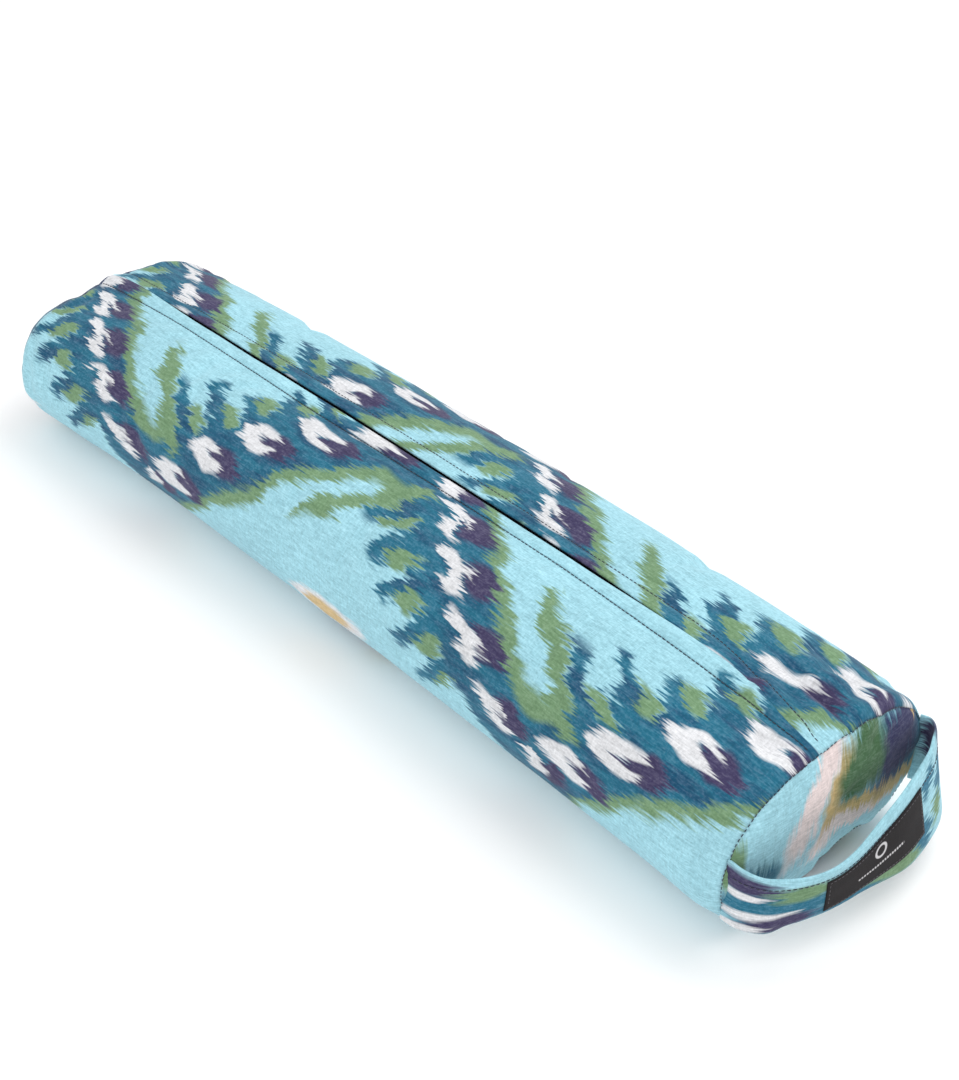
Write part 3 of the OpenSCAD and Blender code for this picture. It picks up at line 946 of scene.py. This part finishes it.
def make_cover(material):
    x = stations(BODY_STATIONS)[:, None]
    share = np.linspace(0, 1, BESIDE_LIP)[None, :]
    left_from, right_from = -30 * MM, 28 * MM
    left_edge = drawn(x, LEFT_LINE) + UNDERLAP
    right_edge = drawn(x, RIGHT_LINE) - UNDERLAP
    left = left_edge + (left_from - left_edge) * share
    round_it = np.linspace(left_from, -GIRTH + right_from, 127)[None, 1:-1] + 0 * x
    right = right_from + (right_edge - right_from) * share - GIRTH
    girth = np.concatenate([left, round_it, right], axis=1)
    # The cover runs on under the lips, so it sinks below them past the stitching
    across = from_zip(girth)
    under = np.zeros_like(girth)
    under[:, :BESIDE_LIP] = fade((across[:, :BESIDE_LIP] - drawn(x, LEFT_LINE)) / UNDERLAP)
    beyond = girth[:, -BESIDE_LIP:] + GIRTH
    under[:, -BESIDE_LIP:] = fade((drawn(x, RIGHT_LINE) - beyond) / UNDERLAP)
    points, _ = cover_point(x, girth, -1.5 * MM * under)
    cover = grid_object("cover", points)
    set_cloth(cover, flat_places(x, girth))
    thicken(cover, CLOTH)
    dress(cover, material)
    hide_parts("cover_wrap")


def gap_at(x):
    """Half the gap between the lips: closed at both ends and open in between."""
    opened = fade((x + 0.325) / 0.10) * (1 - fade((x - 0.13) / 0.15))
    return (0.12 + 1.9 * opened) * MM


def make_lip(name, side, places, material):
    """One folded lip of the placket, from its stitching to the fold and back underneath."""
    x = stations(BODY_STATIONS)[:, None]
    fold = 0.55 * MM
    start = drawn(x, places) - side * 0.5 * MM
    end = drawn(x, ZIP_LINE) + side * (gap_at(x) + fold)
    top = np.linspace(0, 1, 14)
    turn = np.linspace(0, math.pi, 7)[1:-1]
    back = np.linspace(1, 0.25, 8)
    share = np.concatenate([top, 0 * turn + 1, back])[None, :]
    nose = np.concatenate([0 * top, np.sin(turn), 0 * back])[None, :]
    drop = np.concatenate([0 * top, fold * (1 - np.cos(turn)), 0 * back + 2 * fold])[None, :]
    across = start + (end - start) * share - side * fold * nose
    wide = np.clip(np.abs(end - start) / (12 * MM), 0.2, 1)
    to_fold = np.abs(end - start) * (1 - share)
    lift = 1.1 * MM * fade(share / 0.5) * wide - 0.35 * MM * hump(to_fold, 3 * MM)
    if side > 0:
        lift = lift - 0.3 * MM
    girth = np.where(across <= 0, across, across - GIRTH)
    base, outward = cover_point(x, girth)
    shut = fade((HALF - np.abs(x)) / 0.02)
    ripple = 0.3 * MM * wavering(x / 0.035, 0.0 * x + side + 3, 17) * share
    height = (lift - drop + ripple) * shut - 0.3 * MM * (1 - shut)
    points = base + outward * height[..., None]
    printed = across if side < 0 else across - GIRTH
    if side > 0:
        points = points[:, ::-1]
        printed = printed[:, ::-1]
    lip = grid_object(name, points)
    set_cloth(lip, flat_places(x, printed))
    thicken(lip, 0.45 * MM)
    dress(lip, material)
    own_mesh(lip)


def make_topstitch(name, places, material, node):
    x = np.linspace(-HALF + 3 * MM, HALF - 2 * MM, 900)
    line = drawn(x, places)
    girth = line if places is LEFT_LINE else line - GIRTH
    path, outward = cover_point(x, girth)
    row = stitch_row(name, path + outward * 0.35 * MM, outward, 2.6 * MM, 0.7 * MM, 0.27 * MM)
    dress(row, material)
    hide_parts(node)


PANEL_ROUND = 168         # points round each end seam


def panel_rim(side):
    """The seam line round one end, starting at the crown."""
    girth = -GIRTH * np.arange(PANEL_ROUND) / PANEL_ROUND
    points, _ = cover_point(np.full(PANEL_ROUND, side * (HALF - 0.01 * MM)), girth)
    points[:, 0] = MIDDLE + side * (HALF - 0.4 * MM)
    return points, girth


def panel_rings(side):
    """Rings of an end panel from its seam inwards: domed, pressed out by the filling and slack."""
    rim, girth = panel_rim(side)
    shares = 1 - np.linspace(0, 1, 34)[:-1] ** 1.25
    centre = rim.mean(axis=0)
    rings = centre + (rim - centre)[None] * shares[:, None, None]
    # The far end is fuller, and rounds over its seam
    if side > 0:
        swell = 5.5 * MM * (1 - shares ** 2.6)
    else:
        swell = 15 * MM * np.sqrt(1 - shares ** 2)
    rings[..., 0] = rim[0, 0] + side * swell[:, None]
    if SETTLED is not None:
        grid = SETTLED["near" if side > 0 else "far"]
        order = np.interp(shares, SETTLED["shares"], np.arange(len(SETTLED["shares"])))
        row, column = np.broadcast_arrays(order[:, None], -girth[None, :] / GIRTH * SIM_ROUND)
        bulge = sampled(grid, row, column)
        rings[..., 0] += side * np.clip(side * bulge[..., 0], -0.5 * MM, 2.5 * MM)
    y, z = rings[..., 1], rings[..., 2]
    turn = 2 * math.pi * girth[None, :] / GIRTH
    inward = 1 - shares[:, None]
    pucker = wavering(8 * np.cos(turn) + 9, 8 * np.sin(turn) + 9, 23) * hump(inward - 0.10, 0.13)
    slack = 0.8 * MM * wavering(y / 0.036 + 5, z / 0.032 + 5, 24) * fade(inward / 0.3)
    slack = slack + 0.4 * MM * wavering(y / 0.013 + 5, z / 0.016 + 5, 25) * fade(inward / 0.3)
    groove = -0.8 * MM * hump(shares[:, None] - 0.985, 0.012)
    rings[..., 0] += side * (1.0 * MM * pucker + slack + groove)
    return rings


def make_panel(name, side, material, node):
    panel = dome_object(name, panel_rings(side), side)
    thicken(panel, CLOTH)
    dress(panel, material)
    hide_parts(node)


def make_end_seam(name, side, material, node):
    """Stitches that bridge the seam line, round the whole end."""
    rim, _ = panel_rim(side)
    closed = np.vstack([rim, rim[:1]])
    middle = closed.mean(axis=0)
    outward = unit((closed - middle) * [0, 1, 1])
    path = closed + outward * 0.1 * MM + np.array([side * 0.55 * MM, 0, 0])
    row = stitch_row(name, path, outward, 2.2 * MM, 0.9 * MM, 0.26 * MM)
    dress(row, material)
    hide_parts(node)


# ---- Zip ----

def make_tape(name, side, material, node):
    """A woven tape, flat under the coil and bending up to the row of stitching it hangs from."""
    low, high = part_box(node)
    x = np.linspace(low.x, high.x, 141)
    inner = min(abs(low.y), abs(high.y))
    outer = max(abs(low.y), abs(high.y))
    y = np.linspace(inner, outer, 12)
    middle = (low.z + high.z) / 2
    rise = 2.2 * MM * fade((y - 6 * MM) / (outer - 6 * MM))
    sag = 0.25 * MM * wavering(x / 0.04, side * 2.0 + 9, 31)
    height = middle + rise[None, :] + sag[:, None] * fade((y - inner) / 0.004)
    points = np.stack(np.broadcast_arrays(x[:, None], side * y[None, :], height), axis=-1)
    tape = grid_object(name, points if side > 0 else points[:, ::-1])
    columns = y[None, :] if side > 0 else y[None, ::-1]
    set_cloth(tape, flat_places(x[:, None], columns))
    thicken(tape, 0.5 * MM, 0)
    dress(tape, material)
    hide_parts(node)


def make_coil(name, side, material, node):
    """One half of the zip's coil: a nylon helix along the tape's edge."""
    low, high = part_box(node)
    pitch, wire, sides, per_turn = 1.6 * MM, 0.32 * MM, 5, 8
    radius = (high.z - low.z) / 2 - wire
    turns = int((high.x - low.x - 2 * wire) / pitch)
    angle = np.arange(turns * per_turn + 1) / per_turn * 2 * math.pi
    x = low.x + wire + angle / (2 * math.pi) * pitch
    y = (low.y + high.y) / 2 + side * radius * np.cos(angle)
    z = (low.z + high.z) / 2 + radius * np.sin(angle)
    path = np.stack([x, y, z], axis=-1)
    ahead = unit(np.gradient(path, axis=0))
    spoke = np.stack([0 * x, side * np.cos(angle), np.sin(angle)], axis=-1)
    third = np.cross(ahead, spoke)
    turn = np.arange(sides) * 2 * math.pi / sides
    circle = spoke[:, None] * np.cos(turn)[:, None] + third[:, None] * np.sin(turn)[:, None]
    coil = closed_tube(name, path[:, None] + wire * circle)
    dress(coil, material)
    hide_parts(node)


def finish_metal(material):
    """The slider, tab and stops keep their CAD shapes, with softened edges."""
    for node in ("zipper_slider", "zipper_pull_tab", "zipper_top_stops", "zipper_bottom_stop"):
        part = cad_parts[node]
        part.data.materials.clear()
        part.data.materials.append(material)
        edge = part.modifiers.new("soft_edges", "BEVEL")
        edge.width = 0.12 * MM
        edge.segments = 2
        edge.limit_method = "ANGLE"


# ---- Filling ----

CASING_CLOTH = 0.5 * MM
BATTING_SHORT = 1.2 * MM  # how far the batting's ends lie inside the casing's


def filling_points(node, shrink):
    """Rings along the casing or the batting: the body's section, lumpy and a little smaller."""
    casing_low, casing_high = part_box("casing_wrap")
    length = (casing_high.x - casing_low.x) / 2 - shrink
    x = stations(121) * length / HALF
    girth = -GIRTH * np.arange(96) / 96
    y, z = section_at(girth)
    low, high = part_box(node)
    y = y / (WIDTH / 2) * (high.y - low.y) / 2
    z = low.z + z / HEIGHT * (high.z - low.z)
    middle = (low.z + high.z) / 2
    inset = round_in(np.clip(np.abs(x) + HALF - length, 0, HALF))
    lump = 1 - 0.006 * (1 + wavering(x[:, None] / 0.03, girth[None, :] / 0.03, 41))
    size = (1 - inset / (WIDTH / 2))[:, None] * lump * 0.988
    points = np.stack(np.broadcast_arrays(
        x[:, None] + MIDDLE, y[None, :] * size + bow(x)[:, None], middle + (z[None, :] - middle) * size),
        axis=-1)
    below = np.clip((WIDEST - points[..., 2]) / WIDEST, 0, 1)
    points[..., 2] += below * end_lift(x[:, None], points[..., 1])
    return points, flat_places(x[:, None], girth[None, :])


def make_casing(material):
    """The inner casing's wrap. Returns its two end rings, which the casing's ends are sewn to."""
    points, places = filling_points("casing_wrap", 0.0)
    body = grid_object("casing_body", points, close_columns=True)
    set_cloth(body, places)
    thicken(body, CASING_CLOTH)
    dress(body, material)
    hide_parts("casing_wrap")
    return points[0], points[-1]


def make_casing_ends(far_rim, near_rim, material):
    for name, rim, side, node in (("casing_end_far_piece", far_rim, -1, "casing_end_far"),
                                  ("casing_end_near_piece", near_rim, 1, "casing_end_near")):
        end = dome_object(name, dome_points(rim, np.linspace(1, 0.04, 14), 6 * MM, side), side)
        thicken(end, CASING_CLOTH)
        dress(end, material)
        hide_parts(node)


def make_batting(material):
    points, _ = filling_points("batting_core", BATTING_SHORT)
    shares = np.linspace(0.15, 1, 9)[:-1]
    far = dome_points(points[0], shares, 5 * MM, -1)
    near = dome_points(points[-1], shares, 5 * MM, 1)[::-1]
    batting = closed_tube("batting", np.concatenate([far, points, near]))
    dress(batting, material)
    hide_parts("batting_core")


# ---- Strap ----

STRAP_LOW, STRAP_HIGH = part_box("strap_loop")
STRAP_WIDE = STRAP_HIGH.z - STRAP_LOW.z
SEAM = MIDDLE + HALF
# The strap's route seen from above: out from the -Y end of the seam, across, and back to the +Y end
STRAP_ROUTE = [(-0.5, -81.5), (9, -80), (19, -73), (28, -62), (34.5, -48), (38, -31), (39.5, -10),
               (39, 10), (37, 32), (33, 51), (27, 68), (17, 80), (6.5, 84.5), (-0.5, 82.5)]
STRAP_COUNT = 150
TOPSTITCH_AT = 0.79       # the strap's row of stitching, as a share of its width


def strap_route():
    """Points of the strap's centre line, with its outward side and the distance along it."""
    points = through([(SEAM + a * MM, b * MM, 0) for a, b in STRAP_ROUTE], STRAP_COUNT)
    ahead = unit(np.gradient(points, axis=0))
    outward = np.stack([ahead[:, 1], -ahead[:, 0], 0 * ahead[:, 0]], axis=-1)
    return points, outward, lengths(points)


STRAP_PATH, STRAP_OUT, STRAP_ALONG = strap_route()
STRAP_LENGTH = STRAP_ALONG[-1]


def strap_point(along, height, off):
    """A point of the strap: a distance along it, a share of its width and a distance off its middle."""
    along, height, off = np.broadcast_arrays(along, height, off)
    place = np.stack([np.interp(along, STRAP_ALONG, axis) for axis in STRAP_PATH.T], axis=-1)
    out = unit(np.stack([np.interp(along, STRAP_ALONG, axis) for axis in STRAP_OUT.T], axis=-1))
    free = fade(along / 0.03) * fade((STRAP_LENGTH - along) / 0.03)
    wave = 1.6 * MM * wavering(along / 0.045 + 3, height * 0.8 + 2, 51) * free
    run = along / STRAP_LENGTH
    lean = (2 + 8 * run) * MM * (0.5 - height) * free
    curl = 1.2 * MM * hump(height - 1, 0.18) * wavering(along / 0.06, 0.0 * along + 7, 52) * free
    tilt = 4.5 * MM * fade((run - 0.28) / 0.25) * fade((1 - run) / 0.18) * height ** 1.2
    # The lower edge tucks in under the loop, all but a ruffle beside the -Y seam
    tuck = (1 - height) ** 1.6 * fade((along - 26 * MM) / 0.026) * fade((132 * MM - along) / 0.05)
    drop = height ** 1.3 * fade(along / 0.025) * (1 - fade((run - 0.39) / 0.31))
    sag = 2.5 * MM * np.sin(run * math.pi) ** 2
    edge_wave = 1.0 * MM * wavering(along / 0.05 + 9, height + 5, 53) * free
    ruffle = 3.0 * MM * (1 - height) ** 2 * np.sin(along / 0.0075) * hump(along - 34 * MM, 0.014)
    point = place + out * (off + wave + lean + curl - tilt - 4 * MM * tuck + ruffle)[..., None]
    rise = 6 * MM * tuck - (3 + 7 * drop) * MM * height + 3 * MM * fade((run - 0.3) / 0.5) * height
    rise = rise + 4 * MM * hump(run - 0.7, 0.22) * height
    point[..., 2] = STRAP_LOW.z + height * STRAP_WIDE - sag + edge_wave + rise + 1 * MM
    return point


def make_strap(material):
    along = np.linspace(0, STRAP_LENGTH, STRAP_COUNT)
    thick = 1.1 * MM
    heights = np.linspace(0, 1, 25)
    puff = thick * (0.55 + 0.45 * fade(np.minimum(heights, 1 - heights) / 0.06))
    stitch = hump(heights - TOPSTITCH_AT, 0.02)
    height = np.concatenate([heights, heights[::-1]])
    off = np.concatenate([puff - 0.35 * MM * stitch, -puff[::-1]])
    # The outer face stops a little short of the inner one at both edges, which rounds them
    height[0] += 0.004
    height[len(heights) - 1] -= 0.004
    points = strap_point(along[:, None], height[None, :], off[None, :])
    count, around = points.shape[:2]
    faces = grid_faces(count, around, close_columns=True)
    last = (count - 1) * around
    faces.append(list(range(around)))
    faces.append([last + i for i in range(around)][::-1])
    strap = mesh_object("strap", points, [face[::-1] for face in faces])
    set_cloth(strap, flat_places(along[:, None], (height * STRAP_WIDE)[None, :]))
    dress(strap, material, body=None)
    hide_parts("strap_end_left", "strap_end_right", "strap_loop")
    bend_with_strap(strap)


def bend_with_strap(piece):
    """Bakes a piece's place into its mesh. The strap is sewn in at the end seam and hangs in a free loop.
    """
    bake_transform(piece)


LABEL_FROM = 0.28         # the label's two ends, as shares of the strap's length
LABEL_TO = 0.70
LABEL_LOW = (0.09, 0.24)   # its lower edge at those ends, as shares of the strap's width
LABEL_HIGH = (0.76, 0.82)  # and its upper edge


def across_label(along, share):
    """The share of the strap's width at a share of the label's, which is sewn on slightly askew."""
    run = (along / STRAP_LENGTH - LABEL_FROM) / (LABEL_TO - LABEL_FROM)
    low = LABEL_LOW[0] + (LABEL_LOW[1] - LABEL_LOW[0]) * run
    high = LABEL_HIGH[0] + (LABEL_HIGH[1] - LABEL_HIGH[0]) * run
    return low + (high - low) * share


def label_size(along, shares):
    """The label's cut size: its mean width across the strap, and its length along its middle."""
    widths = [lengths(strap_point(place, across_label(place, shares), 0.0))[-1] for place in along]
    length = lengths(strap_point(along, across_label(along, 0.5), 0.0))[-1]
    return float(np.mean(widths)), float(length)


def stitch_label(start, stop, wide, thread):
    """The row of stitches round the label, a little inside its edge."""
    inset = 2 * MM
    low, high = inset / wide, 1 - inset / wide
    corners = [(start + inset, low), (stop - inset, low), (stop - inset, high), (start + inset, high)]
    route = []
    for (a0, b0), (a1, b1) in zip(corners, corners[1:] + corners[:1]):
        t = np.linspace(0, 1, 60)[:-1]
        route.append(np.stack([a0 + (a1 - a0) * t, b0 + (b1 - b0) * t], axis=-1))
    route = np.concatenate(route + [route[0][:1]])
    heights = across_label(route[:, 0], route[:, 1])
    path = strap_point(route[:, 0], heights, 2.05 * MM)
    outward = unit(path - strap_point(route[:, 0], heights, 0.0))
    stitches = stitch_row("label_stitches", path, outward, 2.2 * MM, 0.6 * MM, 0.22 * MM)
    dress(stitches, thread, body=None)
    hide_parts("label_stitching")
    bend_with_strap(stitches)
    return stitches


def make_label(material, thread):
    start, stop = LABEL_FROM * STRAP_LENGTH, LABEL_TO * STRAP_LENGTH
    wide = (LABEL_HIGH[0] - LABEL_LOW[0]) * STRAP_WIDE
    along = np.linspace(start, stop, 61)
    shares = np.linspace(0, 1, 23)
    heights = across_label(along[:, None], shares[None, :])
    edge_a = np.minimum(along - start, stop - along)[:, None]
    edge_b = (np.minimum(shares, 1 - shares) * wide)[None, :]
    edge = np.minimum(edge_a, edge_b)
    ripple = 0.18 * MM * wavering(along[:, None] / 0.012, shares[None, :] * 3, 61) * fade(edge / 0.006)
    groove = 0.2 * MM * hump(edge - 2 * MM, 0.5 * MM)
    off = 1.75 * MM + 0.25 * MM * fade(edge / (1.5 * MM)) - groove + ripple
    label = grid_object("label", strap_point(along[:, None], heights, off)[::-1])
    set_cloth(label, flat_places(along[:, None], shares[None, :] * wide)[::-1])
    thicken(label, 0.5 * MM)
    dress(label, material, body=None)
    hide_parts("strap_label")
    bend_with_strap(label)
    stitches = stitch_label(start, stop, wide, thread)
    label_size(along, shares)


def make_strap_topstitch(material):
    along = np.linspace(0.02 * STRAP_LENGTH, 0.98 * STRAP_LENGTH, 400)
    path = strap_point(along, TOPSTITCH_AT, 1.1 * MM)
    outward = unit(path - strap_point(along, TOPSTITCH_AT, 0.0))
    stitches = stitch_row("strap_topstitch", path, outward, 2.6 * MM, 0.7 * MM, 0.25 * MM)
    dress(stitches, material, body=None)
    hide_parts("strap_stitching")
    bend_with_strap(stitches)


# ---- Building the object ----

PANEL_MARKS = [
    # The teal mark at (-66, 32), low on the -Y side, is partly print and partly painted shade where the
    # panel darkens towards its lower corner
    (-66, 32, 22, 20, 0.1, TEAL), (-78, 60, 7, 15, 0.2, OLIVE), (62, 72, 34, 34, 0.2, TEAL),
    (-18, 76, 12, 38, 0.56, BLUSH), (-4, 42, 17, 15, 0.2, BLUSH), (22, 38, 44, 6, 0.0, BLUSH),
    (0, 70, 8, 28, 0.35, GOLD), (20, 49, 28, 6, -0.8, GOLD), (58, 42, 28, 7, 0.6, GOLD),
    (54, 74, 24, 25, 0.30, NAVY), (20, 80, 19, 28, 0.30, FOREST), (74, 86, 4, 5, 0.2, GOLD),
]
FAR_MARKS = [
    (0, 55, 90, 60, 0.0, NAVY), (-40, 60, 24, 20, 0.2, TEAL), (20, 30, 26, 16, 0.3, AQUA),
    (40, 80, 20, 14, 0.2, OLIVE), (-10, 86, 18, 8, 0.2, CHALK),
]

cotton = printed_cotton()
dark_thread = thread_material("dark_thread", from_srgb(44, 52, 78), from_srgb(20, 24, 42))
label_thread = thread_material("label_thread", from_srgb(84, 80, 86), from_srgb(48, 46, 52))
tape_cloth = plain_cloth("zip_tape", from_srgb(36, 40, 56), from_srgb(20, 22, 34),
                         0.6, 0.8, 0.15, 0.06 * MM)
label_cloth = label_woven()
casing_cloth = plain_cloth("casing_cotton", from_srgb(232, 224, 204), from_srgb(208, 198, 174),
                           0.7, 0.9, 0.2, 0.06 * MM)

make_cover(cotton)
make_lip("placket_left", -1, LEFT_LINE, cotton)
make_lip("placket_right", 1, RIGHT_LINE, cotton)
make_topstitch("topstitch_left", LEFT_LINE, dark_thread, "placket_stitching_left")
make_topstitch("topstitch_right", RIGHT_LINE, dark_thread, "placket_stitching_right")
make_panel("panel_near", 1, panel_cotton("end_panel_near_cotton", 41.5, PANEL_MARKS), "end_panel_near")
make_panel("panel_far", -1, panel_cotton("end_panel_far_cotton", 45.5, FAR_MARKS), "end_panel_far")
make_end_seam("seam_near", 1, dark_thread, "end_seam_near")
make_end_seam("seam_far", -1, dark_thread, "end_seam_far")
make_tape("tape_left", -1, tape_cloth, "zipper_tape_left")
make_tape("tape_right", 1, tape_cloth, "zipper_tape_right")
coil_nylon = coil_material()
make_coil("coil_left", -1, coil_nylon, "zipper_coil_left")
make_coil("coil_right", 1, coil_nylon, "zipper_coil_right")
finish_metal(metal_material())
casing_far, casing_near = make_casing(casing_cloth)
make_batting(batting_material())
make_casing_ends(casing_far, casing_near, casing_cloth)
make_strap(strap_cotton())
make_label(label_cloth, label_thread)
make_strap_topstitch(dark_thread)


# ---- Floor, lights and camera ----

def make_floor():
    bpy.ops.mesh.primitive_plane_add(size=12)
    floor = bpy.context.object
    floor.name = "floor"
    material, tree, shader = new_material("floor")
    x, y, _ = object_places(tree, 1.0)
    mottle = noise(tree, x * 3, y * 3, 2.5, 3)
    mask = mottle.math("ADD", 0.5, clamp=True)
    colour = blended(tree, mask, (0.95, 0.95, 0.95, 1), (0.98, 0.98, 0.98, 1))
    tree.links.new(colour, shader.inputs["Base Color"])
    shader.inputs["Roughness"].default_value = 0.9
    floor.data.materials.append(material)


def add_softbox(name, place, target, size, power):
    light = bpy.data.lights.new(name, "AREA")
    light.shape = "RECTANGLE"
    light.size, light.size_y = size
    light.energy = power
    obj = bpy.data.objects.new(name, light)
    bpy.context.scene.collection.objects.link(obj)
    obj.location = place
    obj.rotation_euler = (Vector(target) - Vector(place)).to_track_quat("-Z", "Y").to_euler()


# The camera was fitted to the body's outline, zip line and end seam in the photo. Angles are in
# degrees, and the distance and target in metres.
CAMERA_AZIMUTH = 47.262
CAMERA_ELEVATION = 35.823
CAMERA_ROLL = 1.019
CAMERA_DISTANCE = 1.16267
CAMERA_TARGET = (MIDDLE + 0.02825, 0.03666, 0.04)
CAMERA_LENS = 57.572      # mm, on a 36 mm sensor


def make_camera():
    """A camera at the photo's angle."""
    azimuth, elevation = math.radians(CAMERA_AZIMUTH), math.radians(CAMERA_ELEVATION)
    roll = math.radians(CAMERA_ROLL)
    back = Vector((math.sin(azimuth) * math.cos(elevation), -math.cos(azimuth) * math.cos(elevation),
                   math.sin(elevation)))
    right = (-back).cross(Vector((0, 0, 1))).normalized()
    up = right.cross(-back)
    turned = right * math.cos(roll) + up * math.sin(roll)
    upright = up * math.cos(roll) - right * math.sin(roll)
    camera = bpy.data.cameras.new("camera")
    camera.sensor_width = 36
    camera.lens = CAMERA_LENS
    obj = bpy.data.objects.new("camera", camera)
    bpy.context.scene.collection.objects.link(obj)
    facing = Matrix((turned, upright, back)).transposed().to_4x4()
    obj.matrix_world = Matrix.Translation(Vector(CAMERA_TARGET) + back * CAMERA_DISTANCE) @ facing
    bpy.context.scene.camera = obj


def light_scene():
    world = bpy.data.worlds.new("world")
    world.use_nodes = True
    background = world.node_tree.nodes["Background"]
    background.inputs["Color"].default_value = (1, 1, 1, 1)
    background.inputs["Strength"].default_value = 0.92
    bpy.context.scene.world = world
    add_softbox("key", (0.4, 1.1, 1.9), (0, 0, 0.05), (1.6, 1.6), 19)
    add_softbox("fill", (0.2, -1.8, 1.5), (0, 0, 0.05), (1.8, 1.2), 9)
    bpy.context.scene.view_settings.view_transform = "Standard"


make_floor()
light_scene()
make_camera()
